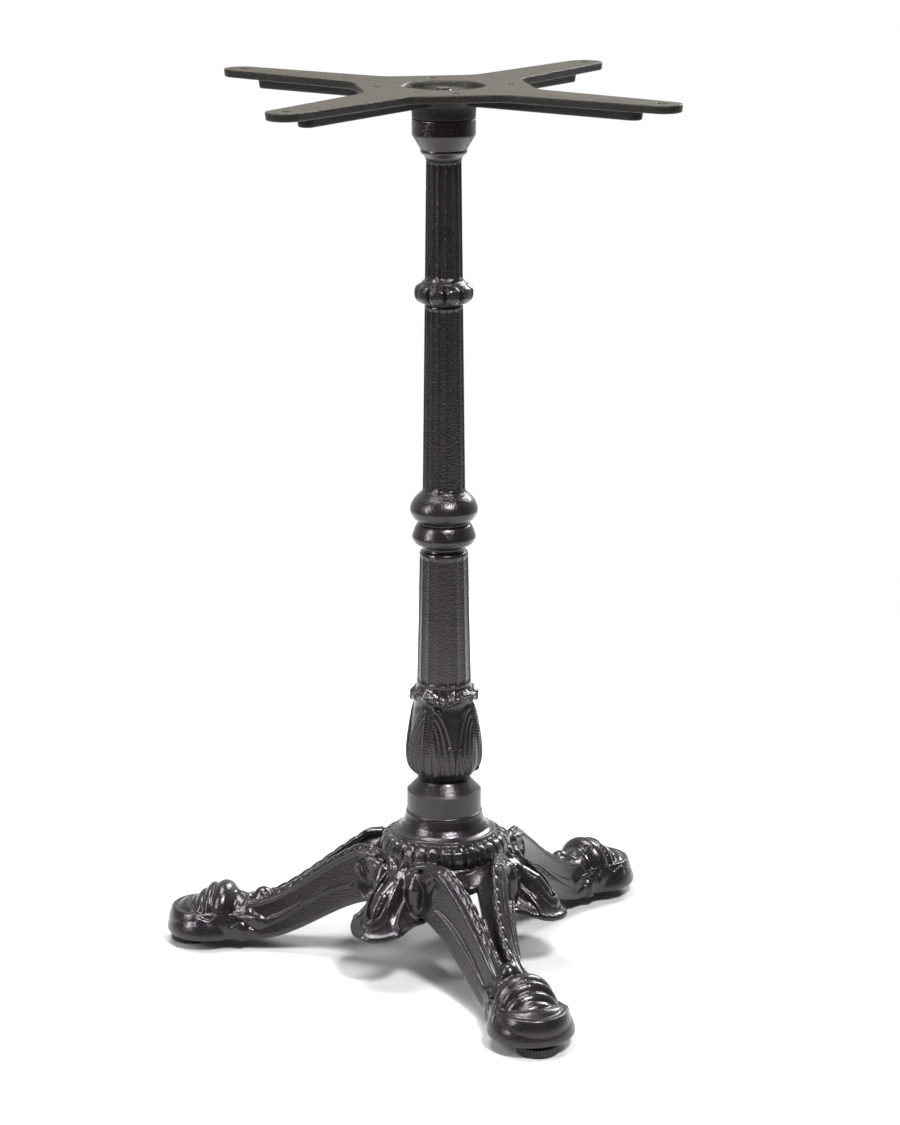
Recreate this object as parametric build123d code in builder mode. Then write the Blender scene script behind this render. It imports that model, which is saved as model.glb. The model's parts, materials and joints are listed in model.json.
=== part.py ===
"""Cast-iron tripod pedestal base for a small bistro table.

A four-arm top plate and a three-legged base casting are clamped to the two ends of
a hollow fluted column by one long tie rod. Each leg ends in a slipper foot with a
levelling screw under it. Millimetres, +Z up. The origin is on the column's axis at
floor level, and the front leg points along -Y.
"""
from build123d import *
import os
from math import cos, radians, sin

os.makedirs("parts", exist_ok=True)

# ---- overall -------------------------------------------------------------------
TOTAL_HEIGHT = 720.0          # floor to the face that meets the table top
FRONT_LEG_ANGLE = -90.0
LEG_COUNT = 3
ARM_ANGLE = 35.2              # first arm of the top plate, from +X
ARM_COUNT = 4

# ---- tie rod and its fasteners (M12) --------------------------------------------
ROD_RADIUS = 5.9
ROD_HOLE_RADIUS = 6.4
NUT_ACROSS_FLATS = 19.0
NUT_HEIGHT = 10.0
WASHER_RADIUS = 12.0
WASHER_THICKNESS = 2.5
SPRING_WASHER_RADIUS = 10.3
SPRING_WASHER_THICKNESS = 2.6
SPRING_WASHER_SPLIT = 1.6
ROD_END_BEYOND_NUT = 3.0
THREAD_END_CHAMFER = 0.8
NUT_CHAMFER_HEIGHT = 1.2

# ---- top plate --------------------------------------------------------------------
ARM_TIP_RADIUS = 215.0
ARM_ROOT_HALF_WIDTH = 26.0    # at the column's axis
ARM_TIP_HALF_WIDTH = 15.0
PLATE_CENTRE_APOTHEM = 67.0
FLANGE_THICKNESS = 6.4
FLANGE_DRAFT = 9.0            # degrees
ARM_RIB_HALF_WIDTH = 7.0
ARM_RIB_DEPTH = 7.8
ARM_RIB_END_RADIUS = 181.0
ARM_HOLE_CIRCLE = 199.3
ARM_HOLE_RADIUS = 3.7
CENTRE_HOLE_CIRCLE = 53.0
CENTRE_HOLE_RADIUS = 3.0
BOWL_TOP_RADIUS = 32.5
BOWL_FLOOR_RADIUS = 15.0
BOWL_FLOOR_Z = 700.0
HUB_RADIUS = 25.0
HUB_BAND_HEIGHT = 6.0         # upright part of the hub, above the column's cup
HUB_FLARE_RADIUS = 40.0
HUB_FLARE_ARC = 16.0

# ---- column -----------------------------------------------------------------------
COLUMN_TOP_Z = 694.5
COLUMN_FOOT_Z = 128.3
COLLAR_RADIUS = 30.3          # plain band at the foot
COLLAR_TOP_Z = 146.4
CUP_RADIUS = 25.1             # plain band at the top
CUP_LOW_Z = 682.0
COLUMN_BORE_RADIUS = 8.2
SPIGOT_LENGTH = 6.0
SPIGOT_CLEARANCE = 0.3
SPIGOT_END_GAP = 0.5
TOP_SPIGOT_RADIUS = 17.2
FOOT_SPIGOT_RADIUS = 15.0
FLUTE_COUNT = 16
FLUTE_RADIUS = 2.2
FLUTE_DEPTH = 1.3
RING_LOBES = 10
RING_LOW_Z = 548.5
RING_HIGH_Z = 564.5
RING_OUTER_RADIUS = 23.4
LOBE_RADIUS = 6.4
LOBE_ROUNDING = 4.5
LEAF_COUNT = 6
LEAF_RELIEF = 1.4
LEAF_FILL = 0.72              # share of the turn that the leaves cover

# ---- base casting -------------------------------------------------------------------
HUB_SEAT_Z = 84.0             # face that the lower washer bears on
HUB_BOSS_RADIUS = 17.0
HUB_POCKET_RADIUS = 41.0
HUB_POCKET_ROOF_Z = 101.0
SEAT_RADIUS = 30.7            # face that the column stands on
SKIRT_RADIUS = 48.0
SKIRT_FOOT_Z = 80.0
ROPE_RING_RADIUS = 46.5
ROPE_RING_SECTION = 6.0
ROPE_RING_Z = 99.0
ROPE_LOBES = 30
ROPE_NOTCH_RADIUS = 1.4
WALL_THICKNESS = 8.5

# ---- feet and levelling screws --------------------------------------------------------
PAD_CIRCLE = 216.6            # radius of the circle through the three pads
PAD_RADIUS = 16.5
PAD_TOP_RADIUS = 15.2
PAD_HEIGHT = 8.7
PAD_RIDGES = 40
STUD_RADIUS = 3.95            # M8
STUD_HOLE_RADIUS = 4.0
STUD_TOP_Z = 33.0
STUD_HEAD_RADIUS = 7.0
STUD_HEAD_LOW_Z = 2.5
STUD_HEAD_HIGH_Z = 6.0
STUD_HOLE_END_GAP = 2.0
PAD_TOP_STEP = 1.2
PAD_RIDGE_GROOVE_RADIUS = 0.9
HEAD_CLEARANCE = 0.05
SHOE_BOTTOM_Z = 9.0
SHOE_TOP_Z = 29.0
TOE_RADIUS = 32.0
TOE_CENTRE = 204.0
HEEL_RADIUS = 22.0
HEEL_CENTRE = 166.0
SHOE_DRAFT = 6.0              # degrees


def finish(part, name):
    """Labels a piece and writes it to its own file."""
    part.label = name
    export_step(part, f"parts/{name}.step")


# ============================== top plate ==============================================
plate_under_z = TOTAL_HEIGHT - FLANGE_THICKNESS
band_top_z = COLUMN_TOP_Z + HUB_BAND_HEIGHT
tip_centre = ARM_TIP_RADIUS - ARM_TIP_HALF_WIDTH
arm_axes = [ARM_ANGLE + 360 / ARM_COUNT * i for i in range(ARM_COUNT)]

with BuildPart() as top_plate:
    with BuildSketch(Plane.XY.offset(TOTAL_HEIGHT)):
        Rectangle(2 * PLATE_CENTRE_APOTHEM, 2 * PLATE_CENTRE_APOTHEM, rotation=ARM_ANGLE + 45)
    extrude(amount=-FLANGE_THICKNESS, taper=FLANGE_DRAFT)
    for axis in arm_axes:
        with BuildSketch(Plane.XY.offset(TOTAL_HEIGHT)):
            Circle(ARM_ROOT_HALF_WIDTH)
            with PolarLocations(tip_centre, 1, start_angle=axis):
                Circle(ARM_TIP_HALF_WIDTH)
            make_hull()
        extrude(amount=-FLANGE_THICKNESS, taper=FLANGE_DRAFT)
    # ribs under the arms, each with a rounded end
    with BuildSketch(Plane.XY.offset(plate_under_z - ARM_RIB_DEPTH)):
        for axis in arm_axes:
            with Locations(Location((0, 0, 0), (0, 0, axis))):
                SlotOverall(2 * ARM_RIB_END_RADIUS, 2 * ARM_RIB_HALF_WIDTH)
    extrude(amount=ARM_RIB_DEPTH + FLANGE_THICKNESS / 2)
    # hub under the plate with the spigot that enters the column's cup
    with BuildSketch(Plane.XZ):
        with BuildLine():
            Polyline(
                (0, plate_under_z + FLANGE_THICKNESS / 2),
                (HUB_FLARE_RADIUS, plate_under_z + FLANGE_THICKNESS / 2),
                (HUB_FLARE_RADIUS, plate_under_z),
            )
            RadiusArc((HUB_FLARE_RADIUS, plate_under_z), (HUB_RADIUS, band_top_z), HUB_FLARE_ARC)
            Polyline(
                (HUB_RADIUS, band_top_z),
                (HUB_RADIUS, COLUMN_TOP_Z),
                (TOP_SPIGOT_RADIUS, COLUMN_TOP_Z),
                (TOP_SPIGOT_RADIUS, COLUMN_TOP_Z - SPIGOT_LENGTH),
                (0, COLUMN_TOP_Z - SPIGOT_LENGTH),
                (0, plate_under_z + FLANGE_THICKNESS / 2),
            )
        make_face()
    revolve(axis=Axis.Z)
    # bowl for the nut, open at the top face, with a rounded lip and floor corner
    with BuildSketch(Plane.XZ):
        with BuildLine():
            Polyline(
                (0, TOTAL_HEIGHT),
                (BOWL_TOP_RADIUS, TOTAL_HEIGHT),
                (BOWL_TOP_RADIUS - 1.5, TOTAL_HEIGHT - 5),
                (BOWL_FLOOR_RADIUS + 4, BOWL_FLOOR_Z + 6),
                (BOWL_FLOOR_RADIUS, BOWL_FLOOR_Z),
                (0, BOWL_FLOOR_Z),
                close=True,
            )
        make_face()
    revolve(axis=Axis.Z, mode=Mode.SUBTRACT)
    with BuildSketch(Plane.XY.offset(TOTAL_HEIGHT)):
        with PolarLocations(ARM_HOLE_CIRCLE, ARM_COUNT, start_angle=ARM_ANGLE):
            Circle(ARM_HOLE_RADIUS)
        with PolarLocations(CENTRE_HOLE_CIRCLE, ARM_COUNT, start_angle=ARM_ANGLE + 45):
            Circle(CENTRE_HOLE_RADIUS)
        Circle(ROD_HOLE_RADIUS)
    extrude(amount=COLUMN_FOOT_Z - TOTAL_HEIGHT, mode=Mode.SUBTRACT)

finish(top_plate.part, "top_plate")

# ============================== column ==================================================
# (radius, height) at the foot and the top of each fluted shaft
SHAFTS = (
    ((22.2, 234.0), (19.55, 347.0)),
    ((17.15, 396.0), (15.35, 549.0)),
    ((15.1, 566.0), (14.0, 665.0)),
)
VASE_OUTLINE = ((18.4, 156.0), (25.8, 163.0), (29.4, 177.0), (28.0, 200.0), (24.2, 222.6))

with BuildPart() as ring_lobe:
    with Locations((RING_OUTER_RADIUS - LOBE_RADIUS, 0, (RING_LOW_Z + RING_HIGH_Z) / 2)):
        Cylinder(LOBE_RADIUS, RING_HIGH_Z - RING_LOW_Z)
    fillet(ring_lobe.edges().filter_by(GeomType.CIRCLE), LOBE_ROUNDING)

with BuildPart() as column:
    # solid of revolution, bottom to top, without the fluted shafts
    with BuildSketch(Plane.XZ):
        with BuildLine():
            # foot spigot, collar and the vase
            Polyline(
                (0, COLUMN_FOOT_Z - SPIGOT_LENGTH),
                (FOOT_SPIGOT_RADIUS, COLUMN_FOOT_Z - SPIGOT_LENGTH),
                (FOOT_SPIGOT_RADIUS, COLUMN_FOOT_Z),
                (COLLAR_RADIUS, COLUMN_FOOT_Z),
                (COLLAR_RADIUS, COLLAR_TOP_Z),
                (21.0, 154.0),
                (18.4, 156.0),
            )
            Spline(*VASE_OUTLINE)
            Polyline((24.2, 222.6), (27.8, 228.0), (22.0, 236.0), (18.0, 240.0))
            # core of the lower shaft, a fillet and the two round mouldings
            Polyline((18.0, 240.0), (17.5, 344.0), (19.55, 346.0), (16.3, 349.0), (17.0, 351.5))
            ThreePointArc((17.0, 351.5), (25.5, 360.0), (19.9, 369.8))
            ThreePointArc((19.9, 369.8), (27.2, 382.0), (17.15, 397.0))
            # core of the middle shaft, the web of the lobed ring, and core of the upper shaft
            Polyline((17.15, 397.0), (14.0, 400.0), (12.5, 547.0), (16.0, RING_LOW_Z))
            Polyline((16.0, RING_LOW_Z), (20.5, 551.0), (20.5, 562.0), (15.1, 568.0))
            Polyline((15.1, 568.0), (12.0, 570.0), (11.0, 662.0), (14.2, 664.0))
            # neck and the cup that takes the top plate's spigot
            ThreePointArc((14.2, 664.0), (16.6, 665.6), (18.5, 669.0))
            Polyline((18.5, 669.0), (CUP_RADIUS, CUP_LOW_Z), (CUP_RADIUS, COLUMN_TOP_Z), (0, COLUMN_TOP_Z))
            Line((0, COLUMN_TOP_Z), (0, COLUMN_FOOT_Z - SPIGOT_LENGTH))
        make_face()
    revolve(axis=Axis.Z)
    for low, high in SHAFTS:
        for radius, height in (low, high):
            with BuildSketch(Plane.XY.offset(height)):
                Circle(radius)
                with PolarLocations(radius + FLUTE_RADIUS - FLUTE_DEPTH, FLUTE_COUNT):
                    Circle(FLUTE_RADIUS, mode=Mode.SUBTRACT)
        loft(ruled=True)
    with PolarLocations(0, RING_LOBES):
        add(ring_lobe.part)
    # acanthus leaves around the vase
    for i in range(LEAF_COUNT):
        with BuildSketch(Plane.XZ.rotated((0, 0, 360 / LEAF_COUNT * i))):
            with BuildLine():
                Spline(*[(radius + LEAF_RELIEF, height) for radius, height in VASE_OUTLINE])
                Polyline(
                    (VASE_OUTLINE[-1][0] + LEAF_RELIEF, VASE_OUTLINE[-1][1]),
                    (16.0, VASE_OUTLINE[-1][1]),
                    (16.0, VASE_OUTLINE[0][1]),
                    (VASE_OUTLINE[0][0] + LEAF_RELIEF, VASE_OUTLINE[0][1]),
                )
            make_face()
        revolve(axis=Axis.Z, revolution_arc=LEAF_FILL * 360 / LEAF_COUNT)
    # cored hollow around the tie rod: it follows the outside, and narrows at both ends
    with BuildSketch(Plane.XZ):
        with BuildLine():
            Polyline(
                (0, COLUMN_FOOT_Z - SPIGOT_LENGTH),
                (COLUMN_BORE_RADIUS, COLUMN_FOOT_Z - SPIGOT_LENGTH),
                (COLUMN_BORE_RADIUS, 138.0),
                (12.0, 156.0),
                (21.0, 172.0),
                (20.0, 200.0),
                (15.5, 226.0),
                (13.0, 344.0),
                (11.0, 352.0),
                (11.0, 400.0),
                (9.5, 545.0),
                (9.0, 650.0),
                (COLUMN_BORE_RADIUS, 672.0),
                (COLUMN_BORE_RADIUS, COLUMN_TOP_Z - SPIGOT_LENGTH - 2 * SPIGOT_END_GAP),
                (TOP_SPIGOT_RADIUS + SPIGOT_CLEARANCE, COLUMN_TOP_Z - SPIGOT_LENGTH - 2 * SPIGOT_END_GAP),
                (TOP_SPIGOT_RADIUS + SPIGOT_CLEARANCE, COLUMN_TOP_Z),
                (0, COLUMN_TOP_Z),
                close=True,
            )
        make_face()
    revolve(axis=Axis.Z, mode=Mode.SUBTRACT)

finish(column.part, "column")

# ============================== base casting ================================================
# A leg is drawn along +X. Each row is one cross-section of a leg wall: distance from the
# column axis, then half-gap and height of its crest, then half-gap and height of its foot.
LEG_SECTIONS = (
    (39, 31.0, 104, 40.0, 62),
    (52, 26.0, 104, 35.0, 56),
    (85, 14.1, 86, 22.5, 43),
    (105, 9.4, 71, 17.5, 30),
    (125, 6.8, 57, 14.5, 19),
    (150, 6.4, 44, 13.5, 11),
    (170, 7.0, 36, 13.0, 11),
)
# V-shaped trough between the two crests, from the slot to the foot: distance from the axis,
# half-width and height of its rims, and height of its bottom.
TROUGH_SECTIONS = ((92, 14.5, 76, 65), (105, 12.5, 65, 57), (125, 10.5, 51, 45), (150, 10.0, 39, 35))
TROUGH_THICKNESS = 5.0
# Pendant leaf between two legs, drawn along +X: distance from the axis, half-width, height
# of its middle, and half-thickness.
PENDANT_SECTIONS = ((40, 9, 90, 7), (60, 11, 82, 8), (78, 22, 66, 12), (92, 21, 54, 10), (101, 8, 43, 4))

# Outline of the roof that joins the two walls beside the hub: distance from the axis, height.
ROOF_OUTLINE = ((43.5, 95), (60, 92), (78, 84), (78, 78), (60, 84), (43.5, 87))
ROOF_HALF_WIDTH = 24.0
# Round masses of the foot, drawn along +X: distance from the axis, height, radius.
FOOT_DOMES = ((188, 27, 25), (206, 20, 20), (156, 36, 10.5))

with BuildPart() as leg:
    for side in (-1, 1):
        for reach, crest_gap, crest_z, foot_gap, foot_z in LEG_SECTIONS:
            with BuildSketch(Plane.YZ.offset(reach)):
                with BuildLine():
                    Polyline(
                        (side * crest_gap, crest_z),
                        (side * (crest_gap + WALL_THICKNESS), crest_z),
                        (side * (foot_gap + WALL_THICKNESS), foot_z),
                        (side * foot_gap, foot_z),
                        close=True,
                    )
                make_face()
        loft(ruled=True)
    # roof between the two walls, beside the hub
    with BuildSketch(Plane.XZ):
        with BuildLine():
            Polyline(*ROOF_OUTLINE, close=True)
        make_face()
    extrude(amount=ROOF_HALF_WIDTH, both=True)
    # trough between the crests
    for reach, half_width, rim_z, bottom_z in TROUGH_SECTIONS:
        with BuildSketch(Plane.YZ.offset(reach)):
            with BuildLine():
                Polyline(
                    (-half_width, rim_z),
                    (0, bottom_z),
                    (half_width, rim_z),
                    (half_width, rim_z - TROUGH_THICKNESS),
                    (0, bottom_z - TROUGH_THICKNESS),
                    (-half_width, rim_z - TROUGH_THICKNESS),
                    close=True,
                )
            make_face()
    loft(ruled=True)
    # slipper foot: sole, toe, instep and the knot behind it
    with BuildSketch(Plane.XY.offset(SHOE_BOTTOM_Z)):
        with Locations((TOE_CENTRE, 0)):
            Circle(TOE_RADIUS)
        with Locations((HEEL_CENTRE, 0)):
            Circle(HEEL_RADIUS)
        make_hull()
    extrude(amount=SHOE_TOP_Z - SHOE_BOTTOM_Z, taper=SHOE_DRAFT)
    for reach, height, radius in FOOT_DOMES:
        with Locations((reach, 0, height)):
            Sphere(radius)
    # flat sole, and the threaded hole for the levelling screw
    with BuildSketch(Plane.XY.offset(SHOE_BOTTOM_Z)):
        Rectangle(3 * TOTAL_HEIGHT, TOTAL_HEIGHT)
    extrude(amount=-TOE_RADIUS, mode=Mode.SUBTRACT)
    with BuildSketch(Plane.XY):
        with Locations((PAD_CIRCLE, 0)):
            Circle(STUD_HOLE_RADIUS)
    extrude(amount=STUD_TOP_Z + STUD_HOLE_END_GAP, mode=Mode.SUBTRACT)

with BuildPart() as pendant:
    for reach, half_width, height, half_thickness in PENDANT_SECTIONS:
        with BuildSketch(Plane.YZ.offset(reach)):
            with Locations((0, height)):
                Ellipse(half_width, half_thickness)
    loft()

with BuildPart() as base_casting:
    # hub: boss for the washer, pocket, skirt, stepped seat and the spigot's socket
    with BuildSketch(Plane.XZ):
        with BuildLine():
            Polyline(
                (ROD_HOLE_RADIUS, HUB_SEAT_Z),
                (HUB_BOSS_RADIUS, HUB_SEAT_Z),
                (HUB_BOSS_RADIUS + 2, HUB_POCKET_ROOF_Z),
                (HUB_POCKET_RADIUS - 3, HUB_POCKET_ROOF_Z - 4),
                (HUB_POCKET_RADIUS, SKIRT_FOOT_Z),
                (SKIRT_RADIUS, SKIRT_FOOT_Z),
                (SKIRT_RADIUS - 2, ROPE_RING_Z),
                (43.0, 107.0),
                (38.0, 110.5),
                (37.8, 113.6),
                (SEAT_RADIUS, COLUMN_FOOT_Z),
                (FOOT_SPIGOT_RADIUS + SPIGOT_CLEARANCE, COLUMN_FOOT_Z),
                (FOOT_SPIGOT_RADIUS + SPIGOT_CLEARANCE, COLUMN_FOOT_Z - SPIGOT_LENGTH - SPIGOT_END_GAP),
                (ROD_HOLE_RADIUS, COLUMN_FOOT_Z - SPIGOT_LENGTH - SPIGOT_END_GAP),
                close=True,
            )
        make_face()
    revolve(axis=Axis.Z)
    # rope ring: a round moulding cut by upright notches
    with BuildSketch(Plane.XZ):
        with Locations((ROPE_RING_RADIUS, ROPE_RING_Z)):
            Circle(ROPE_RING_SECTION)
    revolve(axis=Axis.Z)
    with BuildSketch(Plane.XY.offset(ROPE_RING_Z - 1.5 * ROPE_RING_SECTION)):
        with PolarLocations(ROPE_RING_RADIUS + ROPE_RING_SECTION, ROPE_LOBES):
            Circle(ROPE_NOTCH_RADIUS)
    extrude(amount=3 * ROPE_RING_SECTION, mode=Mode.SUBTRACT)
    with PolarLocations(0, LEG_COUNT, start_angle=FRONT_LEG_ANGLE):
        add(leg.part)
    with PolarLocations(0, LEG_COUNT, start_angle=FRONT_LEG_ANGLE + 180 / LEG_COUNT):
        add(pendant.part)
    with BuildSketch(Plane.XY):
        Circle(ROD_HOLE_RADIUS)
    extrude(amount=TOTAL_HEIGHT, mode=Mode.SUBTRACT)

finish(base_casting.part, "base_casting")

# ============================== tie rod and fasteners ==========================================
top_washer_z = BOWL_FLOOR_Z
top_nut_z = top_washer_z + WASHER_THICKNESS + SPRING_WASHER_THICKNESS
bottom_nut_top_z = HUB_SEAT_Z - WASHER_THICKNESS - SPRING_WASHER_THICKNESS
rod_top_z = top_nut_z + NUT_HEIGHT + ROD_END_BEYOND_NUT
rod_bottom_z = bottom_nut_top_z - NUT_HEIGHT - ROD_END_BEYOND_NUT

with BuildPart() as tie_rod:
    with BuildSketch(Plane.XY.offset(rod_bottom_z)):
        Circle(ROD_RADIUS)
    extrude(amount=rod_top_z - rod_bottom_z)
    chamfer(tie_rod.edges().filter_by(GeomType.CIRCLE), THREAD_END_CHAMFER)

finish(tie_rod.part, "tie_rod")


def write_washer(name, low_z):
    """Plain washer with its lower face at low_z."""
    with BuildPart() as washer:
        with BuildSketch(Plane.XY.offset(low_z)):
            Circle(WASHER_RADIUS)
            Circle(ROD_HOLE_RADIUS, mode=Mode.SUBTRACT)
        extrude(amount=WASHER_THICKNESS)
    finish(washer.part, name)


def write_spring_washer(name, low_z):
    """Split spring washer, closed flat, with its lower face at low_z."""
    with BuildPart() as washer:
        with BuildSketch(Plane.XY.offset(low_z)):
            Circle(SPRING_WASHER_RADIUS)
            Circle(ROD_HOLE_RADIUS, mode=Mode.SUBTRACT)
            with Locations((SPRING_WASHER_RADIUS, 0)):
                Rectangle(SPRING_WASHER_RADIUS, SPRING_WASHER_SPLIT, mode=Mode.SUBTRACT)
        extrude(amount=SPRING_WASHER_THICKNESS)
    finish(washer.part, name)


def write_nut(name, low_z):
    """Hexagon nut, screwed on the tie rod, with its lower face at low_z."""
    with BuildPart() as nut:
        with BuildSketch(Plane.XY.offset(low_z)):
            RegularPolygon(NUT_ACROSS_FLATS / 2, 6, major_radius=False)
            Circle(ROD_RADIUS, mode=Mode.SUBTRACT)
        extrude(amount=NUT_HEIGHT)
        # the corners are turned down at both faces
        with BuildSketch(Plane.XZ):
            with BuildLine():
                Polyline(
                    (0, low_z),
                    (NUT_ACROSS_FLATS / 2, low_z),
                    (NUT_ACROSS_FLATS / 2 + 2, low_z + NUT_CHAMFER_HEIGHT),
                    (NUT_ACROSS_FLATS / 2 + 2, low_z + NUT_HEIGHT - NUT_CHAMFER_HEIGHT),
                    (NUT_ACROSS_FLATS / 2, low_z + NUT_HEIGHT),
                    (0, low_z + NUT_HEIGHT),
                    close=True,
                )
            make_face()
        revolve(axis=Axis.Z, mode=Mode.INTERSECT)
    finish(nut.part, name)


write_washer("top_washer", top_washer_z)
write_spring_washer("top_spring_washer", top_washer_z + WASHER_THICKNESS)
write_nut("top_nut", top_nut_z)
write_washer("bottom_washer", HUB_SEAT_Z - WASHER_THICKNESS)
write_spring_washer("bottom_spring_washer", bottom_nut_top_z)
write_nut("bottom_nut", bottom_nut_top_z - NUT_HEIGHT)

# ============================== levelling screws =================================================
for number in range(LEG_COUNT):
    angle = radians(FRONT_LEG_ANGLE + 360 / LEG_COUNT * number)
    centre = (PAD_CIRCLE * cos(angle), PAD_CIRCLE * sin(angle))

    with BuildPart() as stud:
        with BuildSketch(Plane.XY.offset(STUD_HEAD_LOW_Z)):
            with Locations(centre):
                Circle(STUD_HEAD_RADIUS)
        extrude(amount=STUD_HEAD_HIGH_Z - STUD_HEAD_LOW_Z)
        with BuildSketch(Plane.XY.offset(STUD_HEAD_LOW_Z)):
            with Locations(centre):
                Circle(STUD_RADIUS)
        extrude(amount=STUD_TOP_Z - STUD_HEAD_LOW_Z)
        chamfer(stud.edges().group_by(Axis.Z)[-1], THREAD_END_CHAMFER)
    finish(stud.part, f"leveller_stud_{number + 1}")

    with BuildPart() as pad:
        with BuildSketch(Plane.XY):
            with Locations(centre):
                Circle(PAD_RADIUS)
                with PolarLocations(PAD_RADIUS + PAD_RIDGE_GROOVE_RADIUS / 2, PAD_RIDGES):
                    Circle(PAD_RIDGE_GROOVE_RADIUS, mode=Mode.SUBTRACT)
        extrude(amount=PAD_HEIGHT - PAD_TOP_STEP)
        with BuildSketch(Plane.XY.offset(PAD_HEIGHT - PAD_TOP_STEP)):
            with Locations(centre):
                Circle(PAD_TOP_RADIUS)
        extrude(amount=PAD_TOP_STEP)
        # room for the stud's head and shank
        with BuildSketch(Plane.XY.offset(STUD_HEAD_LOW_Z - HEAD_CLEARANCE)):
            with Locations(centre):
                Circle(STUD_HEAD_RADIUS + HEAD_CLEARANCE)
        extrude(amount=STUD_HEAD_HIGH_Z - STUD_HEAD_LOW_Z + 2 * HEAD_CLEARANCE, mode=Mode.SUBTRACT)
        with BuildSketch(Plane.XY.offset(STUD_HEAD_LOW_Z)):
            with Locations(centre):
                Circle(STUD_RADIUS + HEAD_CLEARANCE)
        extrude(amount=PAD_HEIGHT, mode=Mode.SUBTRACT)
    finish(pad.part, f"leveller_pad_{number + 1}")
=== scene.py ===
"""Looks of a cast-iron tripod table base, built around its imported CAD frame.

The castings are modelled as fields of signed distance, in millimetres, and meshed with
surface nets; the column is a grid wrapped round its axis. Places come from the frame's
boxes, and every finish is a procedural material.
"""
import json
import math

import bpy
import numpy as np
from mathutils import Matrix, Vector

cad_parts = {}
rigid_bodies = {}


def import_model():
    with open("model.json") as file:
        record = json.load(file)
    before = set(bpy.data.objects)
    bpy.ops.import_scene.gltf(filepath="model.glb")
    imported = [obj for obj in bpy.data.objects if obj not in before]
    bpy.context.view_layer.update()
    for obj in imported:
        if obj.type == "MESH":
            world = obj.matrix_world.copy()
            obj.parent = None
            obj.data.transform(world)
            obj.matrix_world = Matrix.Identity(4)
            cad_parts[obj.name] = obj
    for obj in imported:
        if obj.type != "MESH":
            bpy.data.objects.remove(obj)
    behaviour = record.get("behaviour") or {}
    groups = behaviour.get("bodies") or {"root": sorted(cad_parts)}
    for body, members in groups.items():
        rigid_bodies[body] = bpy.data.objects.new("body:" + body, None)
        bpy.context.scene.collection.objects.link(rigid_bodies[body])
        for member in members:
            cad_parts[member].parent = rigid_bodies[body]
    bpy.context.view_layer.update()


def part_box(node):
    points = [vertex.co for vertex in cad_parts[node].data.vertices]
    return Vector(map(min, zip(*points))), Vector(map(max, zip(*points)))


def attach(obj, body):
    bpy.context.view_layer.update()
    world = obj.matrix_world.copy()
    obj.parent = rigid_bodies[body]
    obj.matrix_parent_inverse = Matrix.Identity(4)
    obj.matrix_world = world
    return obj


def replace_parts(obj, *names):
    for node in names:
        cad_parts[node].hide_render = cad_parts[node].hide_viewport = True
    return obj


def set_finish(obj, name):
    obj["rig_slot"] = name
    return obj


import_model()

MM = 0.001


# ============================== places from the frame ==============================
def box_mm(node):
    """Lowest and highest corners of a CAD node, in millimetres."""
    low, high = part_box(node)
    return np.array(low) / MM, np.array(high) / MM


PLATE_LOW, PLATE_HIGH = box_mm("top_plate")
BASE_LOW, BASE_HIGH = box_mm("base_casting")
ROD_LOW, ROD_HIGH = box_mm("tie_rod")
PADS = [f"leveller_pad_{number}" for number in (1, 2, 3)]
PAD_CENTRES = [(box_mm(pad)[0] + box_mm(pad)[1]) / 2 for pad in PADS]
FRONT_LEG = math.atan2(PAD_CENTRES[0][1], PAD_CENTRES[0][0])
LEGS = len(PADS)
TOP_Z = PLATE_HIGH[2]
COLUMN_TOP_Z = box_mm("column")[1][2]
COLLAR_FOOT_Z = BASE_HIGH[2]
ROD_RADIUS = (ROD_HIGH[0] - ROD_LOW[0]) / 2
ROD_HOLE = 6.4                # radius of the rod's hole in plate and washers
SPIGOT = 6.0                  # length of the spigot at each end of the column


# ============================== fields of signed distance ==============================
def blend(a, b, soft):
    """Union of two fields with a fillet of about the size soft."""
    h = np.maximum(soft - np.abs(a - b), 0) / soft
    return np.minimum(a, b) - h * h * soft / 4


def carve(a, b, soft):
    """a without b, with a rounded edge."""
    return -blend(-a, b, soft)


def keep(a, b, soft):
    """What a and b share, with a rounded edge."""
    return -blend(-a, -b, soft)


def between(value, low, high):
    """Distance outside a range of values, negative inside it."""
    return np.maximum(low - value, value - high)


def step(value, low, high):
    """0 below low, 1 above high, smooth between."""
    t = np.clip((value - low) / (high - low), 0, 1)
    return t * t * (3 - 2 * t)


def ball(p, centre, radii):
    """Ellipsoid."""
    q = [(p[i] - centre[i]) / radii[i] for i in range(3)]
    k0 = np.sqrt(q[0] ** 2 + q[1] ** 2 + q[2] ** 2)
    g = np.sqrt(sum((q[i] / radii[i]) ** 2 for i in range(3))) + 1e-9
    return k0 * (k0 - 1) / g


def rod(p, a, b, ra, rb):
    """Round bar from a to b, with radius ra at a and rb at b."""
    a, b = np.array(a, float), np.array(b, float)
    d = b - a
    t = sum((p[i] - a[i]) * d[i] for i in range(3)) / (d @ d)
    t = np.clip(t, 0, 1)
    gap = np.sqrt(sum((p[i] - a[i] - t * d[i]) ** 2 for i in range(3)))
    return gap - (ra + (rb - ra) * t)


def path(p, points, radii):
    """Round bar along a line of points, with a radius at each."""
    whole = None
    for i in range(len(points) - 1):
        one = rod(p, points[i], points[i + 1], radii[i], radii[i + 1])
        whole = one if whole is None else np.minimum(whole, one)
    return whole


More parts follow.
